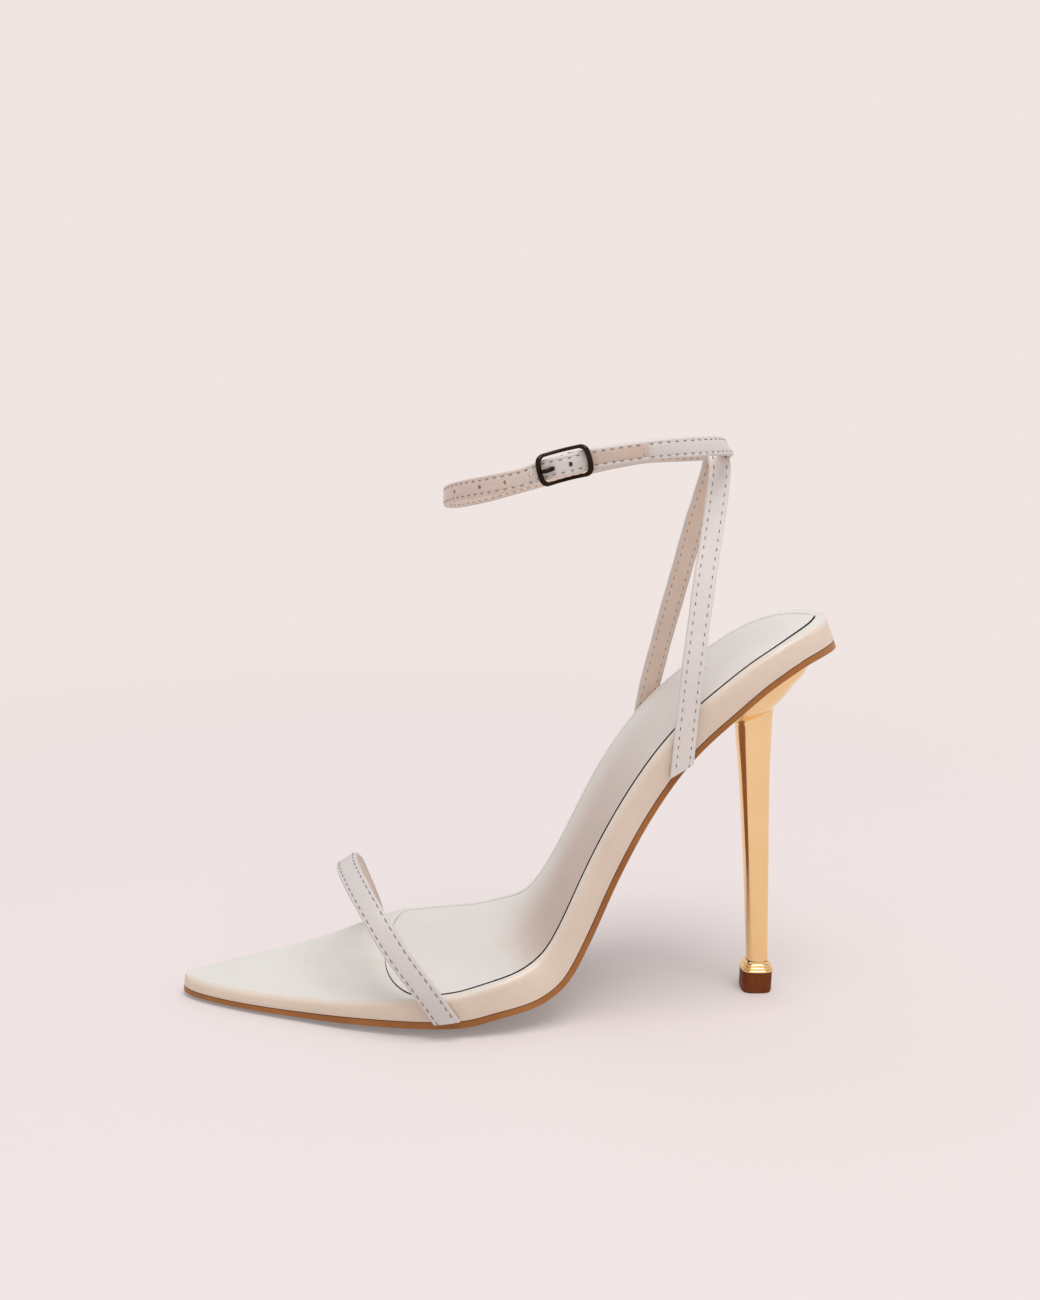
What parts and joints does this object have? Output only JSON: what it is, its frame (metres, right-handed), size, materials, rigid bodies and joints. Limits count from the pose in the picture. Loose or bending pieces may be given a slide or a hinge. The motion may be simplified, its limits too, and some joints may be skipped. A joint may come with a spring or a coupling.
{
  "type": "strappy heeled sandal",
  "caption": "women's pointed strappy sandal in ivory leather with a thin toe strap, a V-shaped heel strap, a buckled ankle strap and a slim gold stiletto heel",
  "frame": {"origin": "middle of the shoe's footprint on the floor: the bottom centre of its bounding box", "axes": "toe to -X, seat back to +X, the wearer's outer (left, buckle) side to -Y, inner side to +Y, up +Z"},
  "size_m": [0.214, 0.0788, 0.1903],
  "materials": {
    "sole_leather": "smooth brown sole leather, lightly polished edge",
    "ivory_leather": "smooth ivory leather with a soft sheen",
    "sock_leather": "fine-grained matt ivory leather over thin padding",
    "gold_plating": "bright mirror-like gold plating over moulded plastic",
    "dark_metal": "dark gunmetal plating",
    "tip_plastic": "satin brown wear-resistant plastic"
  },
  "bodies": {
    "root": {"outsole": "sole_leather", "footbed": "ivory_leather", "insole_sock": "sock_leather", "toe_strap": "ivory_leather", "ankle_and_heel_straps": "ivory_leather", "buckle_frame": "dark_metal", "buckle_prong": "dark_metal", "heel": "gold_plating", "heel_ring": "gold_plating", "heel_tip": "tip_plastic"}
  },
  "joints": []
}
